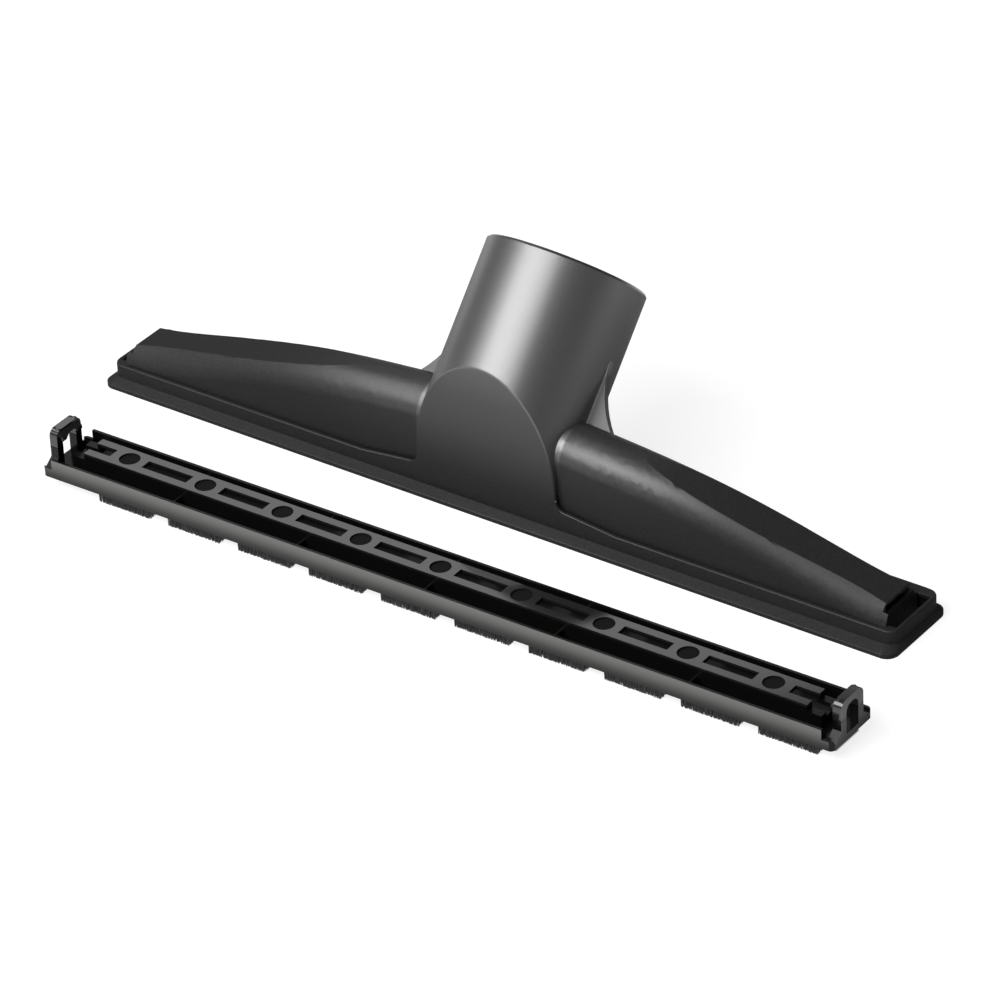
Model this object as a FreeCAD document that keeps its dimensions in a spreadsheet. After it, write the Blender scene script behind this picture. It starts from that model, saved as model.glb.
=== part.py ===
"""Wide floor nozzle for a canister cleaner, with its clip-in brush insert taken off.

The nozzle housing is one moulding: a long plinth with a thin outer flange, two hollow arms that
fall away to the ends, and a round hose socket that leans back and is cut flat at the front.
The insert frame stands in front of it on its bristles, the way it lies when it is unclipped:
a long tray with a slotted ladder along the middle and a snap loop at each end.

Frame: millimetres, X along the nozzle, Y to the back, Z up, origin on the floor.
"""
import FreeCAD, Part
import math
import os
import re

import Sketcher

SIZES = [
    # where the two assemblies stand
    ("housing_x", -8.0, "nozzle position, along"),
    ("housing_y", 12.02, "nozzle position, towards the back"),
    ("insert_x", 13.07, "insert position, along"),
    ("insert_y", -60.68, "insert position, towards the back"),
    ("insert_turn", 0.74, "small turn of the insert on the floor, degrees"),
    # plinth and flange
    ("nozzle_length", 358.4, "length over the flange"),
    ("plinth_depth", 31.8, "depth of the plinth"),
    ("lip_height", 1.7, "upright lip of the flange"),
    ("flange_height", 3.1, "height where the flange meets the plinth"),
    ("front_ledge", 4.6, "flange width in front of the plinth"),
    ("back_ledge", 2.0, "flange width behind the plinth"),
    ("end_ledge", 1.9, "flange width beyond the plinth's ends"),
    ("flange_corner", 5.0, "plan corner radius of the flange"),
    ("plinth_height", 8.6, "height of the plinth rim"),
    ("plinth_corner", 4.5, "plan corner radius of the plinth"),
    ("plinth_wall", 1.8, "wall thickness of the plinth, front and back"),
    ("end_wall", 1.8, "wall thickness at the two ends"),
    ("roof", 1.6, "thickness of the plinth's top"),
    # arms
    ("skin", 2.2, "wall thickness of the arms"),
    ("arm_radius", 11.9, "radius of the rounded arm"),
    ("arm_ledge", 2.2, "rim and groove in front of the arm"),
    ("well_length", 9.2, "from the arms' end faces to the flange's ends"),
    ("cheek_length", 2.3, "how far the arm's front skin runs on beside the end well"),
    ("arm_foot", 2.0, "how low the arm's section starts inside the plinth"),
    ("ridge_mid", 41.8, "ridge height in the middle"),
    ("ridge_near", 39.7, "ridge height at the first station"),
    ("ridge_knee", 35.7, "ridge height at the second station"),
    ("ridge_far", 27.5, "ridge height at the third station"),
    ("ridge_end", 17.8, "ridge height at the cheek's end"),
    ("station_near", 40.0, "first station from the middle"),
    ("station_knee", 80.0, "second station from the middle"),
    ("station_far", 125.0, "third station from the middle"),
    ("facet_start", 60.0, "where the flat top cut begins, above the arm"),
    ("facet_rise", 38.3, "height of the flat cut where it begins"),
    ("facet_angle", 11.76, "slope of the flat cut, degrees"),
    ("groove_width", 0.7, "shadow groove between rim and arm"),
    ("groove_depth", 0.9, "depth of the shadow groove"),
    ("arm_end_wall", 1.0, "thickness of the arm's end face"),
    ("window_low", 11.0, "lower edge of the latch window"),
    ("window_high", 14.2, "upper edge of the latch window"),
    ("window_width", 19.0, "width of the latch window"),
    # hose socket
    ("socket_outer", 63.2, "outer diameter of the hose socket"),
    ("socket_bore", 57.2, "bore of the hose socket"),
    ("socket_depth", 44.15, "depth of the bore down to its stop"),
    ("passage_bore", 53.0, "air passage below the stop"),
    ("socket_lean", 42.7, "lean of the socket back from upright, degrees"),
    ("socket_axis", -29.8, "where the socket's axis would meet the floor plane"),
    ("socket_reach", 104.85, "distance along the axis from there to the rim"),
    ("socket_edge", 1.0, "bevel outside the socket's rim"),
    ("mouth_bevel", 0.8, "bevel inside the mouth"),
    ("shield_wall", 2.5, "thickness behind the flat shield"),
    ("shield_fillet", 4.0, "corner between the shield and the ramp of the rim"),
    ("ramp_rise", 2.5, "rise of the plinth rim beside the shield"),
    ("ramp_length", 26.0, "length of that rise, from the shield's side"),
    ("wing_top", 76.0, "where the side wings start, along the axis"),
    ("wing_foot", 50.6, "where they land on the arms, along the axis"),
    ("wing_foot_out", 43.4, "half width at the foot"),
    ("wing_curve", 42.5, "radius of their hollow outer edge"),
    ("wing_root", 42.0, "how deep they run into the arms, along the axis"),
    ("wing_thick", 3.0, "thickness of the wings"),
    # tray of the insert frame, heights from its underside
    ("bristle_show", 4.6, "bristle length below the frame"),
    ("tray_play", 1.1, "clearance of the tray in the plinth, each side"),
    ("tray_wall", 1.2, "thickness of the tray's walls"),
    ("tray_floor", 2.4, "thickness of the tray's floors"),
    ("tray_height", 7.8, "height of the tray's walls"),
    ("tray_end_play", 0.6, "tray walls end this far before the arms' end faces"),
    ("tray_corner", 2.0, "plan corner radius of the tray's end sills"),
    ("sill_height", 3.7, "height of the tray's low end sills"),
    ("box_half", 5.8, "half depth of the middle box"),
    ("box_wall", 1.2, "thickness of the middle box's walls"),
    ("box_play", 5.0, "middle box ends this far before the arms' end faces"),
    ("ladder_height", 10.4, "height of the ladder top"),
    ("ladder_thick", 1.6, "thickness of the ladder top"),
    ("ladder_step", 5.8, "the ladder's rails end this far before the middle box"),
    ("dimple_pitch", 35.47, "spacing of the round dimples and the slots between them"),
    ("dimple_radius", 4.1, "radius of the round dimples"),
    ("dimple_depth", 0.7, "depth of the round dimples"),
    ("slot_length", 20.8, "length of the ladder's slots"),
    ("slot_width", 4.9, "width of the ladder's slots"),
    ("end_slot_length", 15.5, "length of the open end slots"),
    ("rib_pitch", 56.8, "spacing of the cross ribs in the channels"),
    ("rib_thick", 0.9, "thickness of the cross ribs"),
    ("rib_height", 6.6, "height of the cross ribs"),
    # snap loops, heights from the frame's underside
    ("frame_drop", 1.3, "how far the clipped-in frame hangs below the housing"),
    ("loop_play", 1.5, "clearance between a snap loop and the end wall"),
    ("loop_thick", 3.5, "thickness of the snap loops"),
    ("loop_side_play", 2.3, "clearance of a snap loop in the latch window, each side"),
    ("loop_height", 16.7, "top of a snap loop"),
    ("loop_corner", 3.0, "rounded shoulder of a snap loop"),
    ("eye_half", 3.9, "half width of the loop's eye"),
    ("eye_height", 14.1, "top of the loop's eye"),
    ("foot_play", 0.3, "clearance of the loop's foot in the end well, each side"),
    ("bulkhead_play", 0.4, "clearance of the wall under the latch window in the tray"),
    ("foot_half", 11.2, "half width of the loop's flared foot"),
    ("foot_rise", 5.4, "height over which the foot flares"),
    ("barb_hold", 1.3, "how far the barb hooks behind the latch window"),
    ("barb_play", 0.1, "clearance between the barb and the window's lower edge"),
    ("barb_tip", 13.6, "height of the barb's tip"),
    # bristle strips
    ("strip_inset_left", 32.9, "first strip of the front row, from the arm's end face to its middle"),
    ("strip_inset_right", 15.5, "last strip of the front row, from the arm's end face to its middle"),
    ("strip_length", 23.6, "length of a bristle strip at its root"),
    ("strip_back", 6.6, "inner side of a strip from the middle"),
    ("strip_front", 10.8, "outer side of a strip from the middle"),
    ("strip_splay", 0.35, "spread of a strip at its tip, each side"),
]
STRIPS = 10
CROWN_TURNS = range(15, 180, 30)
DIMPLE_TURNS = range(0, 360, 15)

doc = FreeCAD.newDocument("floor_nozzle")
sheet = doc.addObject("Spreadsheet::Sheet", "Sizes")
for row, (alias, value, meaning) in enumerate(SIZES, start=1):
    sheet.set("A%d" % row, meaning)
    sheet.set("B%d" % row, str(value))
    sheet.setAlias("B%d" % row, alias)
doc.recompute()
ALIASES = {alias for alias, _, _ in SIZES}


def spelled(text):
    """Put the sheet's name in front of each alias in an expression."""
    return re.sub(r"[a-z_]+", lambda word: ("Sizes." if word[0] in ALIASES else "") + word[0], text)


def size(text):
    """The present value of an expression in the sheet's aliases."""
    return float(sheet.evalExpression(spelled(text)))


def bind(made, prop, text):
    made.setExpression(prop, spelled(text))


def plane(body, role):
    return next(f for f in body.Origin.OriginFeatures if f.Role == role)


def new_body(name):
    return doc.addObject("PartDesign::Body", name)


def sketch(body, name, role, shift="0", along="0", tilt="0"):
    """A sketch on an origin plane, moved along its normal and its own Y, tilted about its X."""
    made = body.newObject("Sketcher::SketchObject", name)
    made.AttachmentSupport = [(plane(body, role), "")]
    made.MapMode = "FlatFace"
    made.AttachmentOffset = FreeCAD.Placement(
        FreeCAD.Vector(0, size(along), size(shift)), FreeCAD.Rotation(FreeCAD.Vector(1, 0, 0), size(tilt)))
    bind(made, ".AttachmentOffset.Base.z", shift)
    bind(made, ".AttachmentOffset.Base.y", along)
    if tilt != "0":
        bind(made, ".AttachmentOffset.Rotation.Angle", tilt)
    return made


def fix(made, kind, place, text):
    """A dimension of a sketch bound to an expression."""
    index = made.addConstraint(Sketcher.Constraint(kind, *place, size(text)))
    bind(made, "Constraints[%d]" % index, text)


def pin(made, geo, pos, x, y):
    """Hold a point of a sketch at two expressions."""
    fix(made, "DistanceX", (-1, 1, geo, pos), x)
    fix(made, "DistanceY", (-1, 1, geo, pos), y)


def weld(made, pairs):
    for a, a_end, b, b_end in pairs:
        made.addConstraint(Sketcher.Constraint("Coincident", a, a_end, b, b_end))


def polygon(made, corners):
    """A closed outline through corners given as pairs of expressions."""
    points = [FreeCAD.Vector(size(x), size(y), 0) for x, y in corners]
    first = made.GeometryCount
    count = len(corners)
    for i in range(count):
        made.addGeometry(Part.LineSegment(points[i], points[(i + 1) % count]))
    for i in range(count):
        weld(made, [(first + i, 2, first + (i + 1) % count, 1)])
        pin(made, first + i, 1, *corners[i])


def box(made, x_low, x_high, y_low, y_high):
    polygon(made, [(x_low, y_low), (x_high, y_low), (x_high, y_high), (x_low, y_high)])


def turn_arc(made, x, y, radius, start, stop):
    """An arc about a centre between two angles counted in quarter turns."""
    centre = FreeCAD.Vector(size(x), size(y), 0)
    geo = made.addGeometry(Part.ArcOfCircle(
        Part.Circle(centre, FreeCAD.Vector(0, 0, 1), size(radius)), start * math.pi / 2, stop * math.pi / 2))
    pin(made, geo, 3, x, y)
    fix(made, "Radius", (geo,), radius)
    for end, quarter in ((1, start), (2, stop)):
        made.addConstraint(Sketcher.Constraint("Vertical" if quarter % 2 else "Horizontal", geo, 3, geo, end))
    return geo


def straight(made, start, stop):
    """A line between two arc ends, each given as geometry and end number."""
    geo = made.addGeometry(Part.LineSegment(made.getPoint(*start), made.getPoint(*stop)))
    weld(made, [(geo, 1) + start, (geo, 2) + stop])


def rounded(made, half_x, front, back, radius):
    """A rectangle with four round corners, from a front line to a back line."""
    x, near, far = "%s - %s" % (half_x, radius), "%s + %s" % (front, radius), "%s - %s" % (back, radius)
    corners = ((x, far), ("-(%s)" % x, far), ("-(%s)" % x, near), (x, near))
    arcs = [turn_arc(made, cx, cy, radius, i, i + 1) for i, (cx, cy) in enumerate(corners)]
    for i in range(4):
        straight(made, (arcs[i], 2), (arcs[(i + 1) % 4], 1))


def skirted(made, left, right, foot):
    """Close an outline from the left arc's end down to a level foot and up to the right arc's start."""
    from_left, to_right = made.getPoint(*left), made.getPoint(*right)
    low_left = FreeCAD.Vector(from_left.x, size(foot), 0)
    low_right = FreeCAD.Vector(to_right.x, size(foot), 0)
    down = made.addGeometry(Part.LineSegment(from_left, low_left))
    base = made.addGeometry(Part.LineSegment(low_left, low_right))
    up = made.addGeometry(Part.LineSegment(low_right, to_right))
    weld(made, [(down, 1) + left, (down, 2, base, 1), (base, 2, up, 1), (up, 2) + right])
    for kind, geo in (("Vertical", down), ("Vertical", up), ("Horizontal", base)):
        made.addConstraint(Sketcher.Constraint(kind, geo))
    fix(made, "DistanceY", (-1, 1, base, 1), foot)


def arch(made, middle, radius, top, foot):
    """A round-topped section with upright sides, down to a level foot."""
    crown = turn_arc(made, middle, "%s - %s" % (top, radius), radius, 0, 2)
    skirted(made, (crown, 2), (crown, 1), foot)


def facetted(made, middle, radius, top, foot):
    """The same section with a crown of flats, its corners on the round one."""
    crown = [("%s + %s * cos(%d)" % (middle, radius, turn), "%s - %s + %s * sin(%d)" % (top, radius, radius, turn))
             for turn in CROWN_TURNS]
    polygon(made, [(crown[0][0], foot)] + crown + [(crown[-1][0], foot)])


def shouldered(made, half, top, radius, foot):
    """A flat-topped section with two round shoulders, down to a level foot."""
    y = "%s - %s" % (top, radius)
    right = turn_arc(made, "%s - %s" % (half, radius), y, radius, 0, 1)
    left = turn_arc(made, "-(%s - %s)" % (half, radius), y, radius, 1, 2)
    straight(made, (right, 2), (left, 1))
    skirted(made, (left, 2), (right, 1), foot)


def swept(kind, body, name, profile, length, middle=False, flipped=False):
    made = body.newObject(kind, name)
    made.Profile = profile
    made.Length = size(length)
    bind(made, "Length", length)
    made.SideType = "Symmetric" if middle else "One side"
    made.Reversed = flipped
    return made


def pad(*args, **options):
    return swept("PartDesign::Pad", *args, **options)


def pocket(*args, **options):
    return swept("PartDesign::Pocket", *args, **options)


def revolution(body, name, profile):
    made = body.newObject("PartDesign::Revolution", name)
    made.Profile = profile
    made.ReferenceAxis = (profile, ["V_Axis"])
    made.Angle = 360
    return made


def loft(body, name, sections, ruled=False):
    made = body.newObject("PartDesign::AdditiveLoft", name)
    made.Profile = sections[0]
    made.Sections = sections[1:]
    made.Ruled = ruled
    return made


def row_of(body, name, feature, pitch, count):
    """Repeat a feature along X."""
    made = body.newObject("PartDesign::LinearPattern", name)
    made.Originals = [feature]
    made.Direction = (plane(body, "X_Axis"), [""])
    made.Mode = "Spacing"
    made.Offset = size(pitch)
    bind(made, "Offset", pitch)
    made.Occurrences = count
    body.Tip = made
    return made


def other_end(body, name, features):
    """Copy features to the other end."""
    made = body.newObject("PartDesign::Mirrored", name)
    made.Originals = features
    made.MirrorPlane = (plane(body, "YZ_Plane"), [""])
    body.Tip = made
    return made


def place(made, x, y, z, turn):
    """Stand a sub-part at expressions, turned about the upright."""
    made.Placement = FreeCAD.Placement(
        FreeCAD.Vector(size(x), size(y), size(z)), FreeCAD.Rotation(FreeCAD.Vector(0, 0, 1), size(turn)))
    bind(made, ".Placement.Base.x", x)
    bind(made, ".Placement.Base.y", y)
    bind(made, ".Placement.Base.z", z)
    if turn != "0":
        bind(made, ".Placement.Rotation.Angle", turn)


# ---- housing, outside
HALF_LENGTH = "nozzle_length / 2"
HALF_DEPTH = "(plinth_depth / 2)"
PLINTH_END = "(nozzle_length / 2 - end_ledge)"
ARM_MIDDLE = "arm_ledge + arm_radius - " + HALF_DEPTH
ARM_REACH = "(nozzle_length / 2 - well_length)"
STATIONS = [(ARM_REACH + " + cheek_length", "ridge_end"), ("station_far", "ridge_far"),
            ("station_knee", "ridge_knee"), ("station_near", "ridge_near")]
AXIS_SHIFT = "-socket_axis"
AXIS_TILT = "-socket_lean"
HIGH = "socket_reach"

outer = new_body("outer")
side = sketch(outer, "tube_side", "XZ_Plane", AXIS_SHIFT, tilt=AXIS_TILT)
polygon(side, [("0", "0"), ("socket_outer / 2", "0"), ("socket_outer / 2", "socket_reach - socket_edge"),
               ("socket_outer / 2 - socket_edge", "socket_reach"), ("0", "socket_reach")])
revolution(outer, "tube", side)

front = sketch(outer, "front_plane", "XZ_Plane", HALF_DEPTH)
box(front, "-socket_outer", "socket_outer", "-socket_outer", HIGH)
pocket(outer, "front_cut", front, HIGH, flipped=True)
under = sketch(outer, "under_plane", "XY_Plane")
box(under, "-socket_outer", "socket_outer", "-socket_outer", "socket_outer")
pocket(outer, "under_cut", under, HIGH)


def flange_plan(name, height):
    made = sketch(outer, name, "XY_Plane", height)
    rounded(made, HALF_LENGTH, "-(plinth_depth / 2 + front_ledge)", "plinth_depth / 2 + back_ledge", "flange_corner")
    return made


def plinth_plan(name, height):
    made = sketch(outer, name, "XY_Plane", height)
    rounded(made, PLINTH_END, "-plinth_depth / 2", "plinth_depth / 2", "plinth_corner")
    return made


pad(outer, "lip", flange_plan("lip_plan", "0"), "lip_height")
loft(outer, "skirt", [flange_plan("skirt_low", "lip_height"), plinth_plan("skirt_high", "flange_height")], ruled=True)
pad(outer, "plinth", plinth_plan("plinth_foot", "0"), "plinth_height")


def arm_sections(body, tag, outline, stations, middle_top, radius):
    """Sections of one kind from one end of the arms to the other."""
    spots = [("-(%s)" % x, top) for x, top in stations] + [("0", middle_top)] + stations[::-1]
    made = []
    for number, (x, top) in enumerate(spots):
        section = sketch(body, "%s_%d" % (tag, number), "YZ_Plane", x)
        outline(section, ARM_MIDDLE, radius, top, "arm_foot")
        made.append(section)
    return made


loft(outer, "arms", arm_sections(outer, "arm", arch, STATIONS, "ridge_mid", "arm_radius"))


def facet_at(x):
    return "facet_rise - tan(facet_angle) * (%s - facet_start)" % x


flat = sketch(outer, "facet_side", "XZ_Plane")
for sign in ("", "-"):
    polygon(flat, [(sign + "facet_start", "facet_rise"), (sign + HALF_LENGTH, facet_at(HALF_LENGTH)),
                   (sign + HALF_LENGTH, HIGH), (sign + "facet_start", HIGH)])
pocket(outer, "facets", flat, "plinth_depth", middle=True)

wings = sketch(outer, "wing_outline", "XZ_Plane", AXIS_SHIFT, tilt=AXIS_TILT)
for sign in (1, -1):
    prefix = "" if sign > 0 else "-"
    top = FreeCAD.Vector(sign * size("socket_outer / 2"), size("wing_top"), 0)
    low = FreeCAD.Vector(sign * size("wing_foot_out"), size("wing_foot"), 0)
    chord = low - top
    radius = size("wing_curve")
    sag = radius - math.sqrt(radius ** 2 - chord.Length ** 2 / 4)
    inward = FreeCAD.Vector(sign * chord.y, -sign * chord.x, 0).normalize()
    edge = wings.addGeometry(Part.Arc(top, (top + low) / 2 + inward * sag, low))
    start, stop = (1, 2) if wings.getPoint(edge, 1).isEqual(top, 0.001) else (2, 1)
    corners = [("wing_foot_out", "wing_root"), ("passage_bore / 2", "wing_root"), ("passage_bore / 2", "wing_top")]
    points = [low] + [FreeCAD.Vector(size(prefix + x), size(y), 0) for x, y in corners] + [top]
    lines = [wings.addGeometry(Part.LineSegment(points[i], points[i + 1])) for i in range(4)]
    weld(wings, [(lines[0], 1, edge, stop), (lines[0], 2, lines[1], 1), (lines[1], 2, lines[2], 1),
                 (lines[2], 2, lines[3], 1), (lines[3], 2, edge, start)])
    pin(wings, edge, start, prefix + "socket_outer / 2", "wing_top")
    pin(wings, edge, stop, prefix + "wing_foot_out", "wing_foot")
    fix(wings, "Radius", (edge,), "wing_curve")
    for line, (x, y) in zip(lines, corners):
        pin(wings, line, 2, prefix + x, y)
pad(outer, "wing_plates", wings, "wing_thick", flipped=True)

CORNER_OUT = "socket_outer / 2 + shield_fillet"
CORNER_LOW = "plinth_height + ramp_rise"
corner = sketch(outer, "shield_corner", "XZ_Plane", HALF_DEPTH)
for sign, start in (("", 2), ("-", 3)):
    arc = turn_arc(corner, "%s(%s)" % (sign, CORNER_OUT), CORNER_LOW + " + shield_fillet", "shield_fillet",
                   start, start + 1)
    upper, lower = ((arc, 1), (arc, 2)) if sign == "" else ((arc, 2), (arc, 1))
    rest = [(sign + "passage_bore / 2", CORNER_LOW + " + shield_fillet"), (sign + "passage_bore / 2", "flange_height"),
            (sign + "(socket_outer / 2 + ramp_length)", "flange_height"),
            (sign + "(socket_outer / 2 + ramp_length)", "plinth_height")]
    points = [corner.getPoint(*upper)] + [FreeCAD.Vector(size(x), size(y), 0) for x, y in rest]
    points.append(corner.getPoint(*lower))
    lines = [corner.addGeometry(Part.LineSegment(points[i], points[i + 1])) for i in range(5)]
    weld(corner, [(lines[0], 1) + upper] + [(lines[i], 2, lines[i + 1], 1) for i in range(4)]
         + [(lines[4], 2) + lower])
    for line, (x, y) in zip(lines, rest):
        pin(corner, line, 2, x, y)
pad(outer, "shield_corners", corner, "arm_ledge - groove_width", flipped=True)

groove = sketch(outer, "groove_plan", "XY_Plane", "plinth_height")
GROOVE_BACK = "arm_ledge - " + HALF_DEPTH
for sign in ("", "-"):
    box(groove, "%s(%s)" % (sign, CORNER_OUT), sign + ARM_REACH, GROOVE_BACK + " - groove_width", GROOVE_BACK)
pocket(outer, "grooves", groove, "groove_depth")

# ---- housing, inside
core = new_body("core")
bore = sketch(core, "bore_side", "XZ_Plane", AXIS_SHIFT, tilt=AXIS_TILT)
polygon(bore, [("0", "0"), ("passage_bore / 2", "0"), ("passage_bore / 2", "socket_reach - socket_depth"),
               ("socket_bore / 2", "socket_reach - socket_depth"), ("socket_bore / 2", "socket_reach - mouth_bevel"),
               ("socket_bore / 2 + mouth_bevel", "socket_reach"), ("0", "socket_reach")])
revolution(core, "bore", bore)
trim = sketch(core, "trim_plane", "XZ_Plane", HALF_DEPTH + " - shield_wall")
box(trim, "-socket_outer", "socket_outer", "-socket_outer", HIGH)
pocket(core, "trim_cut", trim, HIGH, flipped=True)

ARM_INSIDE = "(%s - arm_end_wall)" % ARM_REACH
INSIDE = [(ARM_INSIDE, facet_at(ARM_INSIDE) + " - skin"),
          ("station_knee", facet_at("station_knee") + " - skin"),
          ("station_near", "ridge_near - skin")]
duct = arm_sections(core, "inside", facetted, INSIDE, "ridge_mid - skin", "(arm_radius - skin)")
loft(core, "arms_inside", duct, ruled=True)
CAVITY_HALF = "(plinth_depth / 2 - plinth_wall)"
WELL_END = PLINTH_END + " - end_wall"
cavity = sketch(core, "cavity_plan", "XY_Plane")
rounded(cavity, WELL_END, "-" + CAVITY_HALF, CAVITY_HALF, "(plinth_corner - end_wall)")
pad(core, "cavity", cavity, "plinth_height - roof")
wells = sketch(core, "well_plan", "XY_Plane")
WELL_HALF = "(foot_half + foot_play)"
latches = sketch(core, "latch_plan", "XY_Plane", "window_low")
bulkheads = sketch(core, "bulkhead_plan", "XY_Plane", "tray_floor - frame_drop + bulkhead_play")
BULKHEAD_HALF = "(plinth_depth / 2 - plinth_wall - tray_play - tray_wall - bulkhead_play)"
for sign in ("", "-"):
    box(wells, sign + ARM_REACH, "%s(%s)" % (sign, WELL_END), "-" + WELL_HALF, WELL_HALF)
    box(latches, "%s(%s - arm_end_wall)" % (sign, ARM_INSIDE), "%s(%s + arm_end_wall)" % (sign, ARM_REACH),
        "-window_width / 2", "window_width / 2")
    box(bulkheads, sign + ARM_INSIDE, sign + ARM_REACH, "-" + BULKHEAD_HALF, BULKHEAD_HALF)
pad(core, "wells", wells, "ridge_end")
pad(core, "latch_windows", latches, "window_high - window_low")
pocket(core, "bulkheads", bulkheads, "plinth_height - roof", flipped=True)

housing = doc.addObject("Part::Cut", "housing")
housing.Label = "nozzle_housing"
housing.Base = outer
housing.Tool = core
place(housing, "housing_x", "housing_y", "0", "0")

# ---- insert frame, drawn with its underside at zero
TRAY_HALF = "(%s - tray_play)" % CAVITY_HALF
CHANNEL = "(%s - tray_wall)" % TRAY_HALF
LOOP_OUT = "(%s - loop_play)" % WELL_END
LOOP_IN = "(%s - loop_thick)" % LOOP_OUT
LOOP_HALF = "(window_width / 2 - loop_side_play)"
BOX_REACH = "(%s - box_play)" % ARM_REACH
LADDER_REACH = "(%s - ladder_step)" % BOX_REACH
BARB_LOW = "window_low + frame_drop + barb_play"

frame = new_body("insert_frame")
base = sketch(frame, "base_plan", "XY_Plane")
rounded(base, LOOP_OUT, "-" + TRAY_HALF, TRAY_HALF, "tray_corner")
pad(frame, "base_plate", base, "sill_height")
walls = sketch(frame, "wall_plan", "XY_Plane")
box(walls, "-(%s - tray_end_play)" % ARM_REACH, ARM_REACH + " - tray_end_play", "-" + TRAY_HALF, TRAY_HALF)
pad(frame, "walls", walls, "tray_height")
channel = sketch(frame, "channel_plan", "XY_Plane", "tray_floor")
box(channel, "-nozzle_length / 2", "nozzle_length / 2", "-" + CHANNEL, CHANNEL)
pocket(frame, "channels", channel, "tray_height", flipped=True)
rib = sketch(frame, "rib_side", "YZ_Plane", "-2 * rib_pitch")
box(rib, "-" + CHANNEL, CHANNEL, "tray_floor", "rib_height")
first_rib = pad(frame, "rib", rib, "rib_thick", middle=True)
row_of(frame, "ribs", first_rib, "rib_pitch", 5)


def ladder_outline(made, reach, low_reach, top, low_top, foot):
    polygon(made, [("-" + low_reach, foot), (low_reach, foot), (low_reach, low_top), (reach, low_top),
                   (reach, top), ("-" + reach, top), ("-" + reach, low_top), ("-" + low_reach, low_top)])


ladder = sketch(frame, "ladder_side", "XZ_Plane")
ladder_outline(ladder, LADDER_REACH, BOX_REACH, "ladder_height", "tray_height", "0")
pad(frame, "ladder", ladder, "box_half * 2", middle=True)
hollow = sketch(frame, "hollow_side", "XZ_Plane")
ladder_outline(hollow, "(%s - box_wall)" % LADDER_REACH, "(%s - box_wall)" % BOX_REACH,
               "ladder_height - ladder_thick", "tray_height - ladder_thick", "0")
pocket(frame, "hollow", hollow, "(box_half - box_wall) * 2", middle=True)
dimple = sketch(frame, "dimple_plan", "XY_Plane", "ladder_height")
polygon(dimple, [("dimple_radius * cos(%d) - 4 * dimple_pitch" % turn, "dimple_radius * sin(%d)" % turn)
                 for turn in DIMPLE_TURNS])
first_dimple = pocket(frame, "dimple", dimple, "dimple_depth")
row_of(frame, "dimples", first_dimple, "dimple_pitch", 9)
slot = sketch(frame, "slot_plan", "XY_Plane", "ladder_height")
box(slot, "-3.5 * dimple_pitch - slot_length / 2", "-3.5 * dimple_pitch + slot_length / 2",
    "-slot_width / 2", "slot_width / 2")
first_slot = pocket(frame, "slot", slot, "ladder_height - tray_height")
row_of(frame, "slots", first_slot, "dimple_pitch", 8)
end_slot = sketch(frame, "end_slot_plan", "XY_Plane", "ladder_height")
for sign in ("", "-"):
    box(end_slot, "%s(%s - end_slot_length)" % (sign, BOX_REACH), sign + BOX_REACH, "-slot_width / 2", "slot_width / 2")
pocket(frame, "end_slots", end_slot, "ladder_height - tray_height + ladder_thick")

foot = sketch(frame, "foot_side", "YZ_Plane", LOOP_OUT)
polygon(foot, [("-foot_half", "0"), ("foot_half", "0"), ("foot_half", "tray_floor"), (LOOP_HALF, "foot_rise"),
               ("-" + LOOP_HALF, "foot_rise"), ("-foot_half", "tray_floor")])
feet = pad(frame, "foot", foot, "loop_thick", flipped=True)
head = sketch(frame, "loop_side", "YZ_Plane", LOOP_OUT)
shouldered(head, LOOP_HALF, "loop_height", "loop_corner", "tray_floor")
loops = pad(frame, "loop", head, "loop_thick", flipped=True)
hook = sketch(frame, "barb_profile", "XZ_Plane")
polygon(hook, [("%s + loop_thick / 2" % LOOP_IN, BARB_LOW), (ARM_REACH + " - barb_hold", BARB_LOW),
               (ARM_REACH + " - barb_hold", "barb_tip"), (LOOP_IN + " + barb_hold / 2", "loop_height"),
               ("%s + loop_thick / 2" % LOOP_IN, "loop_height")])
barbs = pad(frame, "barb", hook, "(%s - loop_corner / 2) * 2" % LOOP_HALF, middle=True)
eye = sketch(frame, "eye_side", "YZ_Plane", LOOP_OUT + " + loop_thick")
shouldered(eye, "eye_half", "eye_height", "(eye_half * 0.8)", "tray_floor")
eyes = pocket(frame, "eye", eye, "loop_thick * 3")
other_end(frame, "other_end", [feet, loops, barbs, eyes])
place(frame, "insert_x", "insert_y", "bristle_show", "insert_turn")

# ---- bristle strips, drawn below the frame's underside
STRIP_FIRST = "(strip_inset_left - %s)" % ARM_REACH
STRIP_PITCH = "((2 * %s - strip_inset_left - strip_inset_right) / %d)" % (ARM_REACH, STRIPS - 1)
strips = []
for number in range(STRIPS):
    for row, side, middle in (
            ("front", "-", "(%s + %d * %s)" % (STRIP_FIRST, number, STRIP_PITCH)),
            ("rear", "", "(-%s - %d * %s)" % (STRIP_FIRST, STRIPS - 1 - number, STRIP_PITCH))):
        strip = new_body("%s_bristle_block_%02d" % (row, number + 1))
        ends = []
        for end, depth, spread in (("root", "0", "0"), ("tip", "-bristle_show", "strip_splay")):
            section = sketch(strip, "%s_%s_%d" % (end, row, number), "XY_Plane", depth)
            half = "(strip_length / 2 + %s)" % spread
            box(section, "%s - %s" % (middle, half), "%s + %s" % (middle, half),
                side + "strip_back", "%s(strip_front + %s)" % (side, spread))
            ends.append(section)
        loft(strip, "tuft_%s_%d" % (row, number), ends, ruled=True)
        place(strip, "insert_x", "insert_y", "bristle_show", "insert_turn")
        strips.append(strip)

doc.recompute()

for made in doc.Objects:
    if "Invalid" in made.State or "Error" in made.State:
        raise RuntimeError("%s is in state %s" % (made.Name, made.State))

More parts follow.
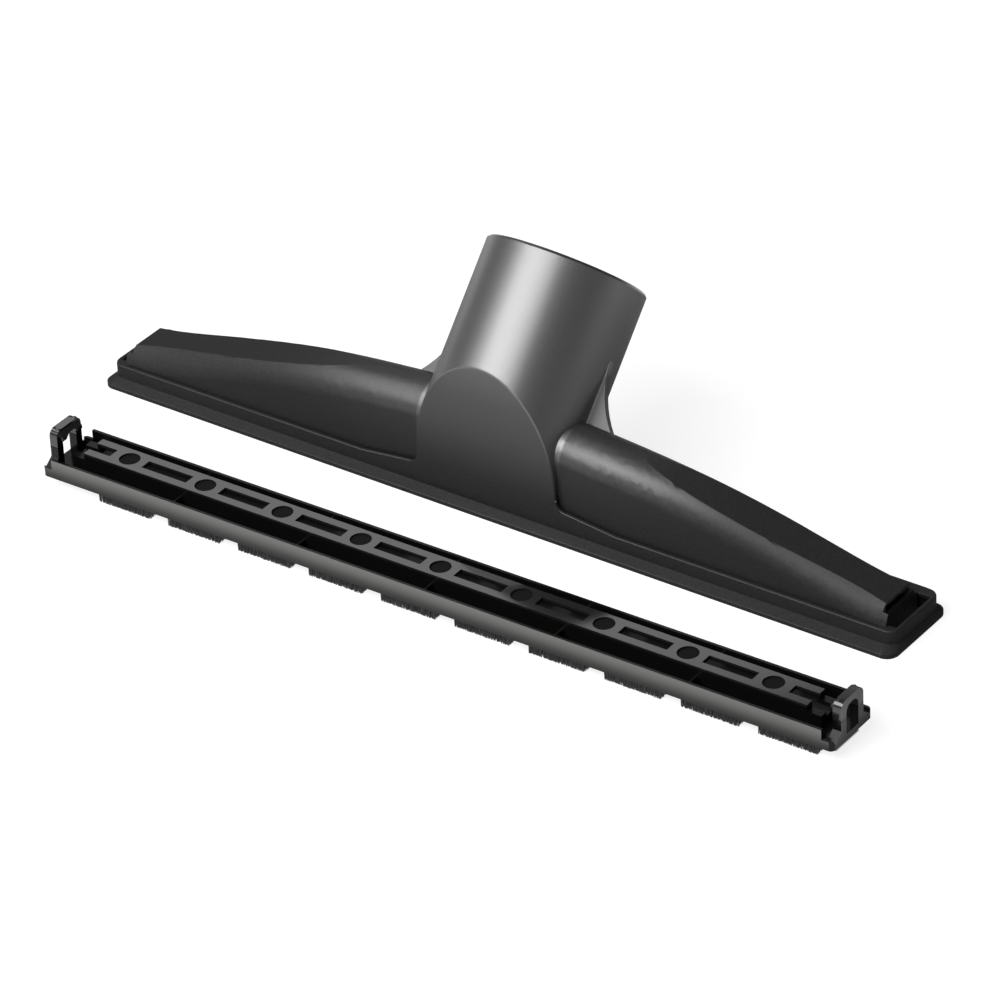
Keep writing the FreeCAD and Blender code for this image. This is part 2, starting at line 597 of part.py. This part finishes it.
os.makedirs("parts", exist_ok=True)
for part in [housing, frame] + strips:
    shape = part.Shape
    if shape.isNull() or not shape.isValid() or len(shape.Solids) != 1:
        raise RuntimeError("%s has no sound solid" % part.Label)
    shape.exportStep("parts/%s.step" % part.Label)
    print("%-24s %9.1f mm3" % (part.Label, shape.Volume))
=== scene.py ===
import math

import bmesh
import bpy
from mathutils import Matrix, Vector


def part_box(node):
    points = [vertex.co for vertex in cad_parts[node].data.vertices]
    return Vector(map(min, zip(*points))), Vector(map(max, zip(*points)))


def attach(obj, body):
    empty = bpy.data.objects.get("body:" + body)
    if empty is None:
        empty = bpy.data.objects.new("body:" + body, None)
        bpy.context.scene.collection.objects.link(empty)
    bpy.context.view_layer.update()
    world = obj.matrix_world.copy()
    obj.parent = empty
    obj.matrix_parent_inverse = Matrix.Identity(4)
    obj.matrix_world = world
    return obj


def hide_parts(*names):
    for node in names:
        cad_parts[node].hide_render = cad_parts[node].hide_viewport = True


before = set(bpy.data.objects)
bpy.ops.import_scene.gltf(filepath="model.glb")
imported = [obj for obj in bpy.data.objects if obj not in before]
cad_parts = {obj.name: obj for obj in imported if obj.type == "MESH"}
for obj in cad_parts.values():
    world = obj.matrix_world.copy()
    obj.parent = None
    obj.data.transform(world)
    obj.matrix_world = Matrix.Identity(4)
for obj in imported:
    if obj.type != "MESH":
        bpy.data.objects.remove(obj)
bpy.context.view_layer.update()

SCENE = bpy.context.scene
MM = 0.001

# ---- sizes that the looks need, in metres; heights are above the floor
CAD_MERGE = 0.002 * MM
FLAT_ANGLE = math.radians(0.6)
EDGE_ANGLE = math.radians(34)

# housing: distances along X are from its middle
HOUSING_PLACE = Vector((-8.0, 12.02, 0)) * MM
HOUSING_EDGE = 0.6 * MM
FINE_SHARE = 0.4
FACET_SLOPE = math.radians(11.76)
PLINTH_FRONT = -15.9 * MM
PLINTH_END = 177.3 * MM
PLINTH_TOP = 8.6 * MM
PLINTH_CORNER = 5.0 * MM
SOCKET_HALF = 31.8 * MM
GRAIN_START = 115 * MM
SHIELD_TOP = 42 * MM
WING_FOOT = 34 * MM
WING_FADE = 6 * MM
WING_DULLING = 1.2
ARM_POLISH = 0.45
SMOOTHEST_GRAIN = 0.74

# insert frame: distances along X and Y are from its middle, turned with it
INSERT_PLACE = Vector((13.07, -60.68, 0)) * MM
INSERT_TURN = math.radians(0.74)
TRAY_HALF = 13.0 * MM
LOOP_OUT = 174.0 * MM
FACE_SKIN = 0.1 * MM
DIMPLE_FLOOR = 14.3 * MM
FRAME_FOOT = 4.6 * MM
WALL_TOP = 12.4 * MM
# outer faces of the frame: darker at the foot, with a painted highlight towards the top of the wall
WALL_FOOT_TONE = (0.02, 0.02, 0.019, 1)
WALL_TOP_PAINTED_HIGHLIGHT = (0.19, 0.19, 0.185, 1)

# bristle strips
STRIPS = 10
STRIP_SIZE = Vector((24.0, 4.6)) * MM
FILAMENT = {"Filament Radius": 0.2 * MM, "Filament Length": FRAME_FOOT, "Spacing": 0.28 * MM,
            "Lean": math.radians(1.5), "Unevenness": 0.01, "Seed": 11}
CROWDING = 1.6
TIP_SHARE = 0.9

# stage
FLOOR_TONE = 0.3
FLOOR_GLOW = 0.82
# painted shade on the floor: a dark patch under the housing, another at the insert's right foot, and a dark band along
# and behind the housing that reflections see
UNDER_HALF_DEPTH = 14 * MM
SHADE_BACK = 60 * MM
SHADE_HALF = 300 * MM
SHADE_FADE = (90 * MM, 160 * MM)
FOOT_GAP = Vector((178.5, -57.0, 0)) * MM
FOOT_GAP_HALF = (5 * MM, 7 * MM)
NOZZLE_HEART = (0, 0, 0.03)


# ---- camera, at the photograph's angle
def place_camera():
    azimuth, elevation, roll = math.radians(37.223), math.radians(32.533), math.radians(-3.033)
    target = Vector((-13.71, 12.02, -5.232)) * MM
    distance, image_scale, sensor = 2109 * MM, 5.6638, 36.0
    back = Vector((math.sin(azimuth) * math.cos(elevation), -math.cos(azimuth) * math.cos(elevation),
                   math.sin(elevation)))
    right = (-back).cross(Vector((0, 0, 1))).normalized()
    up = right.cross(-back)
    tilted_right = math.cos(roll) * right + math.sin(roll) * up
    tilted_up = math.cos(roll) * up - math.sin(roll) * right
    data = bpy.data.cameras.new("camera")
    data.sensor_width = sensor
    data.lens = image_scale * sensor
    data.clip_end = 50
    camera = bpy.data.objects.new("camera", data)
    SCENE.collection.objects.link(camera)
    turn = Matrix((tilted_right, tilted_up, back)).transposed().to_4x4()
    camera.matrix_world = Matrix.Translation(target + back * distance) @ turn
    SCENE.camera = camera


# ---- shader helpers
class Shader:
    """A node tree being wired, with short calls for adding and linking nodes."""

    def __init__(self, tree):
        self.tree = tree

    def add(self, kind, **settings):
        node = self.tree.nodes.new(kind)
        for name, value in settings.items():
            setattr(node, name, value)
        return node

    def link(self, source, target):
        self.tree.links.new(source, target)

    def fill(self, node, **values):
        for name, value in values.items():
            node.inputs[name.replace("_", " ")].default_value = value
        return node


def new_material(name):
    material = bpy.data.materials.new(name)
    material.use_nodes = True
    shader = Shader(material.node_tree)
    return material, shader, material.node_tree.nodes["Principled BSDF"]


def moulded_skin():
    """Shared effect: moulded plastic with a fine grain and a slow drift of tone and gloss."""
    tree = bpy.data.node_groups.new("moulded_skin", "ShaderNodeTree")
    face = tree.interface
    for name, kind, value in (("Colour", "NodeSocketColor", (0.05, 0.05, 0.05, 1)), ("Gloss", "NodeSocketFloat", 0.4),
                              ("Grain Size", "NodeSocketFloat", 0.5), ("Drift", "NodeSocketFloat", 0.1)):
        socket = face.new_socket(name=name, in_out="INPUT", socket_type=kind)
        socket.default_value = value
    for name, kind in (("Colour", "NodeSocketColor"), ("Roughness", "NodeSocketFloat"), ("Height", "NodeSocketFloat")):
        face.new_socket(name=name, in_out="OUTPUT", socket_type=kind)
    wire = Shader(tree)
    start = wire.add("NodeGroupInput")
    end = wire.add("NodeGroupOutput")
    place = wire.add("ShaderNodeTexCoord")
    per_metre = wire.add("ShaderNodeMath", operation="DIVIDE")
    per_metre.inputs[0].default_value = 1000
    wire.link(start.outputs["Grain Size"], per_metre.inputs[1])
    grain = wire.add("ShaderNodeTexNoise")
    wire.fill(grain, Detail=2.0, Roughness=0.6)
    wire.link(place.outputs["Object"], grain.inputs["Vector"])
    wire.link(per_metre.outputs[0], grain.inputs["Scale"])
    cloud = wire.add("ShaderNodeTexNoise")
    wire.fill(cloud, Scale=38.0, Detail=3.0)
    wire.link(place.outputs["Object"], cloud.inputs["Vector"])

    def spread(source, share):
        centred = wire.add("ShaderNodeMath", operation="SUBTRACT")
        centred.inputs[1].default_value = 0.5
        wire.link(source, centred.inputs[0])
        scaled = wire.add("ShaderNodeMath", operation="MULTIPLY")
        wire.link(centred.outputs[0], scaled.inputs[0])
        wire.link(start.outputs["Drift"], scaled.inputs[1])
        shifted = wire.add("ShaderNodeMath", operation="MULTIPLY_ADD")
        shifted.inputs[1].default_value = share
        shifted.inputs[2].default_value = 1.0
        wire.link(scaled.outputs[0], shifted.inputs[0])
        return shifted.outputs[0]

    tone = wire.add("ShaderNodeMix", data_type="RGBA", blend_type="MULTIPLY")
    tone.inputs["Factor"].default_value = 1.0
    wire.link(start.outputs["Colour"], tone.inputs["A"])
    wire.link(spread(grain.outputs["Fac"], 5.0), tone.inputs["B"])
    wire.link(tone.outputs["Result"], end.inputs["Colour"])
    rough = wire.add("ShaderNodeMath", operation="MULTIPLY")
    wire.link(start.outputs["Gloss"], rough.inputs[0])
    wire.link(spread(cloud.outputs["Fac"], 0.4), rough.inputs[1])
    wire.link(rough.outputs[0], end.inputs["Roughness"])
    wire.link(grain.outputs["Fac"], end.inputs["Height"])
    return tree


SKIN = moulded_skin()


def moulded_plastic(name, colour, roughness, grain_size, drift, bump):
    """A material that wears the shared skin; grain_size is in millimetres."""
    material, wire, surface = new_material(name)
    skin = wire.add("ShaderNodeGroup", node_tree=SKIN)
    skin.inputs["Colour"].default_value = colour + (1,)
    wire.fill(skin, Gloss=roughness, Grain_Size=grain_size, Drift=drift)
    wire.link(skin.outputs["Colour"], surface.inputs["Base Color"])
    wire.link(skin.outputs["Roughness"], surface.inputs["Roughness"])
    relief = wire.add("ShaderNodeBump")
    wire.fill(relief, Strength=bump, Distance=0.05 * MM)
    wire.link(skin.outputs["Height"], relief.inputs["Height"])
    wire.link(relief.outputs["Normal"], surface.inputs["Normal"])
    return material, wire, surface, skin


def place_along(wire, axis, centre, turn=0.0):
    """Distance from a piece's middle along X, Y or Z, in metres, for a piece turned about the upright."""
    place = wire.add("ShaderNodeTexCoord")
    centred = wire.add("ShaderNodeMapping", vector_type="TEXTURE")
    centred.inputs["Location"].default_value = centre
    centred.inputs["Rotation"].default_value = (0, 0, turn)
    wire.link(place.outputs["Object"], centred.inputs["Vector"])
    parts = wire.add("ShaderNodeSeparateXYZ")
    wire.link(centred.outputs[0], parts.inputs[0])
    away = wire.add("ShaderNodeMath", operation="ABSOLUTE")
    wire.link(parts.outputs[axis], away.inputs[0])
    return away.outputs[0]


def ramp(wire, value, low, high, at_low, at_high):
    made = wire.add("ShaderNodeMapRange", interpolation_type="SMOOTHSTEP")
    wire.fill(made, From_Min=low, From_Max=high, To_Min=at_low, To_Max=at_high)
    wire.link(value, made.inputs["Value"])
    return made.outputs[0]


def product(wire, first, second):
    made = wire.add("ShaderNodeMath", operation="MULTIPLY")
    for socket, value in zip(made.inputs, (first, second)):
        wire.link(value, socket)
    return made.outputs[0]


def housing_plastic():
    """Grained matte arms that grow smoother towards the socket, dull wings, and a polish that grows up the socket."""
    material, wire, surface, skin = moulded_plastic("satin_housing_plastic", (0.014, 0.014, 0.0137), roughness=0.56,
                                                    grain_size=0.8, drift=0.45, bump=0.12)
    aside = place_along(wire, "X", HOUSING_PLACE)
    height = place_along(wire, "Z", HOUSING_PLACE)
    polish = product(wire, ramp(wire, aside, SOCKET_HALF, SOCKET_HALF + MM, 1.0, ARM_POLISH),
                     ramp(wire, aside, SOCKET_HALF, GRAIN_START, 1.0, 0.0))
    wire.link(product(wire, polish, ramp(wire, height, PLINTH_TOP, SHIELD_TOP, 0.0, 1.0)),
              surface.inputs["Coat Weight"])
    surface.inputs["Coat Roughness"].default_value = 0.42
    surface.inputs["Coat IOR"].default_value = 2.3
    smoother = ramp(wire, aside, SOCKET_HALF, GRAIN_START, SMOOTHEST_GRAIN, 1.0)
    outside = ramp(wire, aside, SOCKET_HALF, SOCKET_HALF + MM, 0.0, 1.0)
    dull_wing = wire.add("ShaderNodeMath", operation="MULTIPLY_ADD")
    dull_wing.inputs[2].default_value = 1.0
    wire.link(outside, dull_wing.inputs[0])
    wire.link(ramp(wire, height, WING_FOOT, WING_FOOT + WING_FADE, 0.0, WING_DULLING), dull_wing.inputs[1])
    wire.link(product(wire, product(wire, skin.outputs["Roughness"], smoother), dull_wing.outputs[0]),
              surface.inputs["Roughness"])
    return material


def frame_plastic():
    """Gloss on the ladder's top and the loops, dull black hollows, and lighter outer faces with a painted highlight
    along their top, darker towards the foot.
    """
    material, wire, surface, skin = moulded_plastic("glossy_frame_plastic", (0.004, 0.004, 0.0038), roughness=0.22,
                                                    grain_size=0.8, drift=0.1, bump=0.2)
    depth = ramp(wire, place_along(wire, "Y", INSERT_PLACE, INSERT_TURN), TRAY_HALF - FACE_SKIN, TRAY_HALF, 0.0, 1.0)
    length = ramp(wire, place_along(wire, "X", INSERT_PLACE, INSERT_TURN), LOOP_OUT - FACE_SKIN, LOOP_OUT, 0.0, 1.0)
    outer = wire.add("ShaderNodeMath", operation="MAXIMUM")
    wire.link(depth, outer.inputs[0])
    wire.link(length, outer.inputs[1])
    tone = wire.add("ShaderNodeMix", data_type="RGBA")
    wire.link(outer.outputs[0], tone.inputs["Factor"])
    wire.link(skin.outputs["Colour"], tone.inputs["A"])
    height = place_along(wire, "Z", INSERT_PLACE)
    # painted highlight: the outer faces grow lighter from the foot to the top of the wall
    painted_highlight = wire.add("ShaderNodeMix", data_type="RGBA")
    wire.link(ramp(wire, height, FRAME_FOOT, WALL_TOP, 0.0, 1.0), painted_highlight.inputs["Factor"])
    painted_highlight.inputs["A"].default_value = WALL_FOOT_TONE
    painted_highlight.inputs["B"].default_value = WALL_TOP_PAINTED_HIGHLIGHT
    wire.link(painted_highlight.outputs["Result"], tone.inputs["B"])
    wire.link(tone.outputs["Result"], surface.inputs["Base Color"])
    dulled = ramp(wire, height, DIMPLE_FLOOR - 0.3 * MM, DIMPLE_FLOOR - 0.1 * MM, 1.0, 3.0)
    wire.link(product(wire, skin.outputs["Roughness"], dulled), surface.inputs["Roughness"])
    surface.inputs["IOR"].default_value = 1.3
    wire.link(ramp(wire, height, DIMPLE_FLOOR + 0.1 * MM, DIMPLE_FLOOR + 0.3 * MM, 0.0, 1.0),
              surface.inputs["Coat Weight"])
    surface.inputs["Coat Roughness"].default_value = 0.08
    surface.inputs["Coat IOR"].default_value = 1.68
    return material


HOUSING_SKIN = housing_plastic()
FRAME_SKIN = frame_plastic()
FILAMENT_SKIN = moulded_plastic("black_filament", (0.03, 0.028, 0.033), roughness=0.38, grain_size=0.35, drift=0.3,
                                bump=0.0)[0]


# ---- moulded pieces
def is_facet(face):
    """One of the two long flats cut across the arms."""
    return abs(abs(face.normal.x) - math.sin(FACET_SLOPE)) < 0.01 and abs(face.normal.z - math.cos(FACET_SLOPE)) < 0.01


def housing_edges(edge):
    """Share of the full edge rounding: full along the plinth's rim and round the shield, none at the arms' ends."""
    middle = (edge.verts[0].co + edge.verts[1].co) / 2 - HOUSING_PLACE
    on_front = abs(middle.y - PLINTH_FRONT) < CAD_MERGE
    on_rim = abs(middle.z - PLINTH_TOP) < CAD_MERGE and (on_front or abs(middle.x) > PLINTH_END - PLINTH_CORNER)
    if on_rim or (on_front and middle.z > PLINTH_TOP):
        return 1.0
    return FINE_SHARE if abs(middle.x) < GRAIN_START else 0.0


def moulding(name, node, material, rounding=None):
    """The node's own shape as one welded skin, its edges rounded by the share that rounding gives."""
    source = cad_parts[node]
    mesh = source.data.copy()
    mesh.name = name
    welded = bmesh.new()
    welded.from_mesh(mesh)
    bmesh.ops.remove_doubles(welded, verts=welded.verts, dist=CAD_MERGE)
    bmesh.ops.dissolve_limit(welded, angle_limit=FLAT_ANGLE, verts=welded.verts, edges=welded.edges)
    weight = welded.edges.layers.float.new("bevel_weight_edge")
    for edge in welded.edges:
        edge.smooth = True
        if len(edge.link_faces) != 2:
            continue
        fold = edge.calc_face_angle_signed(0)
        if fold > EDGE_ANGLE and rounding and rounding(edge):
            edge[weight] = rounding(edge)
        elif abs(fold) > EDGE_ANGLE or is_facet(edge.link_faces[0]) != is_facet(edge.link_faces[1]):
            edge.smooth = False
    for face in welded.faces:
        face.smooth = True
    welded.to_mesh(mesh)
    welded.free()
    mesh.materials.clear()
    mesh.materials.append(material)
    piece = bpy.data.objects.new(name, mesh)
    SCENE.collection.objects.link(piece)
    if rounding:
        bevel = piece.modifiers.new("rounded_edges", "BEVEL")
        bevel.width = HOUSING_EDGE
        bevel.segments = 2
        bevel.limit_method = "WEIGHT"
        bevel.use_clamp_overlap = False
    level = piece.modifiers.new("flat_faces", "WEIGHTED_NORMAL")
    level.keep_sharp = True
    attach(piece, "root")
    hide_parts(node)
    return piece


# ---- bristle rows
def bristle_tree():
    """Filaments hanging from the strips' root faces, leaning and cut a little unevenly."""
    tree = bpy.data.node_groups.new("bristle_rows", "GeometryNodeTree")
    face = tree.interface
    face.new_socket(name="Roots", in_out="INPUT", socket_type="NodeSocketGeometry")
    for name, value in FILAMENT.items():
        kind = "NodeSocketInt" if name == "Seed" else "NodeSocketFloat"
        face.new_socket(name=name, in_out="INPUT", socket_type=kind).default_value = value
    face.new_socket(name="Finish", in_out="INPUT", socket_type="NodeSocketMaterial")
    face.new_socket(name="Filaments", in_out="OUTPUT", socket_type="NodeSocketGeometry")
    wire = Shader(tree)
    start = wire.add("NodeGroupInput")
    end = wire.add("NodeGroupOutput")

    def math_node(kind, first, second):
        node = wire.add("ShaderNodeMath", operation=kind)
        for socket, value in zip(node.inputs, (first, second)):
            if isinstance(value, (int, float)):
                socket.default_value = value
            else:
                wire.link(value, socket)
        return node.outputs[0]

    crowd = math_node("DIVIDE", CROWDING, math_node("MULTIPLY", start.outputs["Spacing"], start.outputs["Spacing"]))
    roots = wire.add("GeometryNodeDistributePointsOnFaces", distribute_method="POISSON")
    wire.link(start.outputs["Roots"], roots.inputs["Mesh"])
    wire.link(start.outputs["Spacing"], roots.inputs["Distance Min"])
    wire.link(crowd, roots.inputs["Density Max"])
    wire.link(start.outputs["Seed"], roots.inputs["Seed"])

    filament = wire.add("GeometryNodeMeshCone", fill_type="NGON")
    wire.fill(filament, Vertices=4, Side_Segments=1)
    wire.link(start.outputs["Filament Radius"], filament.inputs["Radius Bottom"])
    wire.link(math_node("MULTIPLY", start.outputs["Filament Radius"], TIP_SHARE), filament.inputs["Radius Top"])
    wire.link(start.outputs["Filament Length"], filament.inputs["Depth"])
    soft = wire.add("GeometryNodeSetShadeSmooth")
    wire.link(filament.outputs["Mesh"], soft.inputs["Geometry"])

    lean = wire.add("FunctionNodeRandomValue", data_type="FLOAT_VECTOR")
    for side, sign in (("Max", 1), ("Min", -1)):
        spread = wire.add("ShaderNodeCombineXYZ")
        signed = math_node("MULTIPLY", start.outputs["Lean"], sign)
        wire.link(signed, spread.inputs["X"])
        wire.link(signed, spread.inputs["Y"])
        spread.inputs["Z"].default_value = sign * math.pi
        wire.link(spread.outputs[0], lean.inputs[side])
    wire.link(start.outputs["Seed"], lean.inputs["Seed"])
    downwards = wire.add("ShaderNodeVectorMath", operation="ADD")
    downwards.inputs[1].default_value = (math.pi, 0, 0)
    wire.link(lean.outputs[0], downwards.inputs[0])

    cut = wire.add("FunctionNodeRandomValue", data_type="FLOAT")
    wire.link(math_node("SUBTRACT", 1.0, start.outputs["Unevenness"]), cut.inputs[2])
    cut.inputs[3].default_value = 1.0
    wire.link(math_node("ADD", start.outputs["Seed"], 1), cut.inputs["Seed"])
    stretch = wire.add("ShaderNodeCombineXYZ")
    stretch.inputs["X"].default_value = stretch.inputs["Y"].default_value = 1.0
    wire.link(cut.outputs[1], stretch.inputs["Z"])

    plant = wire.add("GeometryNodeInstanceOnPoints")
    wire.link(roots.outputs["Points"], plant.inputs["Points"])
    wire.link(soft.outputs[0], plant.inputs["Instance"])
    wire.link(downwards.outputs[0], plant.inputs["Rotation"])
    wire.link(stretch.outputs[0], plant.inputs["Scale"])
    real = wire.add("GeometryNodeRealizeInstances")
    wire.link(plant.outputs[0], real.inputs[0])
    finish = wire.add("GeometryNodeSetMaterial")
    wire.link(real.outputs[0], finish.inputs["Geometry"])
    wire.link(start.outputs["Finish"], finish.inputs["Material"])
    wire.link(finish.outputs[0], end.inputs[0])
    return tree


def strip_roots(nodes):
    """One face for each strip, at the height where its filaments leave the frame."""
    along = Vector((math.cos(INSERT_TURN), math.sin(INSERT_TURN), 0)) * STRIP_SIZE.x / 2
    across = Vector((-math.sin(INSERT_TURN), math.cos(INSERT_TURN), 0)) * STRIP_SIZE.y / 2
    points, faces = [], []
    for node in nodes:
        low, high = (Vector(corner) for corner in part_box(node))
        middle = (low + high) / 2
        middle.z = high.z
        faces.append(tuple(range(len(points), len(points) + 4)))
        points += [middle - along - across, middle + along - across, middle + along + across, middle - along + across]
    mesh = bpy.data.meshes.new("strip_roots")
    mesh.from_pydata(points, [], faces)
    return mesh


def bristle_row(name, row, tree, material, seed):
    nodes = ["%s_bristle_block_%02d" % (row, number + 1) for number in range(STRIPS)]
    planted = bpy.data.objects.new(name + "_roots", strip_roots(nodes))
    SCENE.collection.objects.link(planted)
    grow = planted.modifiers.new("filaments", "NODES")
    grow.node_group = tree
    sockets = {item.name: item.identifier for item in tree.interface.items_tree if item.in_out == "INPUT"}
    for label, value in list(FILAMENT.items()) + [("Seed", seed), ("Finish", material)]:
        grow[sockets[label]] = value
    grown = planted.evaluated_get(bpy.context.evaluated_depsgraph_get())
    mesh = bpy.data.meshes.new_from_object(grown)
    mesh.name = name
    piece = bpy.data.objects.new(name, mesh)
    SCENE.collection.objects.link(piece)
    bpy.data.objects.remove(planted)
    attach(piece, "root")
    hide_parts(*nodes)
    return piece


# ---- stage
def stage():
    """A floor that reads white, with painted shade that keeps it dark under the housing and in the gap at the insert's
    right foot.

    In reflections it is also dark along the housing and behind it, as in the photograph.
    """
    reach = 12.0
    floor_mesh = bpy.data.meshes.new("floor")
    floor_mesh.from_pydata([(-reach, -reach, 0), (reach, -reach, 0), (reach, reach, 0), (-reach, reach, 0)], [],
                           [(0, 1, 2, 3)])
    floor = bpy.data.objects.new("floor", floor_mesh)
    SCENE.collection.objects.link(floor)
    material, wire, surface = new_material("pale_floor")
    wire.fill(surface, Base_Color=(FLOOR_TONE, FLOOR_TONE, FLOOR_TONE, 1), Roughness=0.9)
    place = wire.add("ShaderNodeTexCoord")

    def beyond(centre, half_length, half_depth):
        """Distance outside a rectangle on the floor, its sides along X and Y."""
        centred = wire.add("ShaderNodeVectorMath", operation="SUBTRACT")
        centred.inputs[1].default_value = centre
        wire.link(place.outputs["Object"], centred.inputs[0])
        folded = wire.add("ShaderNodeVectorMath", operation="ABSOLUTE")
        wire.link(centred.outputs[0], folded.inputs[0])
        past = wire.add("ShaderNodeVectorMath", operation="SUBTRACT")
        past.inputs[1].default_value = (half_length, half_depth, 1)
        wire.link(folded.outputs[0], past.inputs[0])
        outside = wire.add("ShaderNodeVectorMath", operation="MAXIMUM")
        wire.link(past.outputs[0], outside.inputs[0])
        length = wire.add("ShaderNodeVectorMath", operation="LENGTH")
        wire.link(outside.outputs[0], length.inputs[0])
        return length.outputs["Value"]

    def glow(strength):
        made = wire.add("ShaderNodeEmission")
        wire.link(strength, made.inputs["Strength"])
        return made.outputs[0]

    def pick(share, first, second):
        made = wire.add("ShaderNodeMixShader")
        wire.link(share, made.inputs["Fac"])
        if first is not None:
            wire.link(first, made.inputs[1])
        wire.link(second, made.inputs[2])
        return made.outputs[0]

    seen = wire.add("ShaderNodeLightPath")
    # painted shade: the glow the camera sees is switched off under the housing and in the gap at the insert's right
    # foot
    clear_of_painted_housing_shade = ramp(wire, beyond(HOUSING_PLACE, PLINTH_END, UNDER_HALF_DEPTH), 0.0, 1.5 * MM, 0.0, 1.0)
    clear_of_painted_gap_shade = ramp(wire, beyond(FOOT_GAP, *FOOT_GAP_HALF), 0.0, MM, 0.0, FLOOR_GLOW)
    camera_glow_with_painted_shade = glow(product(wire, clear_of_painted_housing_shade, clear_of_painted_gap_shade))
    # painted shade in reflections: the glow that glossy rays see fades to dark along the housing and behind it
    shade_line = beyond(HOUSING_PLACE + Vector((0, SHADE_BACK, 0)), SHADE_HALF, 0.0)
    reflected_glow_with_painted_shade = glow(ramp(wire, shade_line, *SHADE_FADE, 0.0, FLOOR_GLOW))
    extra = pick(seen.outputs["Is Camera Ray"], pick(seen.outputs["Is Glossy Ray"], None, reflected_glow_with_painted_shade), camera_glow_with_painted_shade)
    total = wire.add("ShaderNodeAddShader")
    wire.link(surface.outputs[0], total.inputs[0])
    wire.link(extra, total.inputs[1])
    wire.link(total.outputs[0], material.node_tree.nodes["Material Output"].inputs["Surface"])
    floor_mesh.materials.append(material)


def lamp(name, place, aim, width, height, power):
    data = bpy.data.lights.new(name, "AREA")
    data.shape = "RECTANGLE"
    data.size, data.size_y = width, height
    data.energy = power
    made = bpy.data.objects.new(name, data)
    SCENE.collection.objects.link(made)
    made.location = place
    made.rotation_euler = (Vector(aim) - Vector(place)).to_track_quat("-Z", "Y").to_euler()


def surroundings(front, back):
    """A dim studio, lighter in front than behind, that the camera sees as white."""
    world = bpy.data.worlds.new("studio")
    SCENE.world = world
    world.use_nodes = True
    wire = Shader(world.node_tree)
    background = world.node_tree.nodes["Background"]
    background.inputs["Color"].default_value = (1, 1, 1, 1)
    place = wire.add("ShaderNodeTexCoord")
    parts = wire.add("ShaderNodeSeparateXYZ")
    wire.link(place.outputs["Generated"], parts.inputs[0])
    depth = wire.add("ShaderNodeMapRange")
    wire.fill(depth, From_Min=-1.0, From_Max=1.0, To_Min=front, To_Max=back)
    wire.link(parts.outputs["Y"], depth.inputs["Value"])
    seen = wire.add("ShaderNodeLightPath")
    strength = wire.add("ShaderNodeMix", data_type="FLOAT")
    strength.inputs["B"].default_value = 1.0
    wire.link(depth.outputs[0], strength.inputs["A"])
    wire.link(seen.outputs["Is Camera Ray"], strength.inputs["Factor"])
    wire.link(strength.outputs["Result"], background.inputs["Strength"])


place_camera()
stage()
surroundings(front=0.32, back=0.03)
lamp("key", place=(-0.38, -1.3, 1.44), aim=NOZZLE_HEART, width=1.75, height=1.2, power=39)
lamp("left_top", place=(-1.2, -0.3, 1.5), aim=NOZZLE_HEART, width=0.7, height=0.7, power=5)
lamp("back_strip", place=(-1.01, 1.28, 1.09), aim=INSERT_PLACE, width=0.9, height=0.25, power=0.85)
moulding("nozzle_housing_shell", "nozzle_housing", HOUSING_SKIN, housing_edges)
moulding("insert_frame_shell", "insert_frame", FRAME_SKIN)
tree = bristle_tree()
bristle_row("front_bristle_row", "front", tree, FILAMENT_SKIN, 11)
bristle_row("rear_bristle_row", "rear", tree, FILAMENT_SKIN, 23)

SCENE.view_settings.view_transform = "Standard"
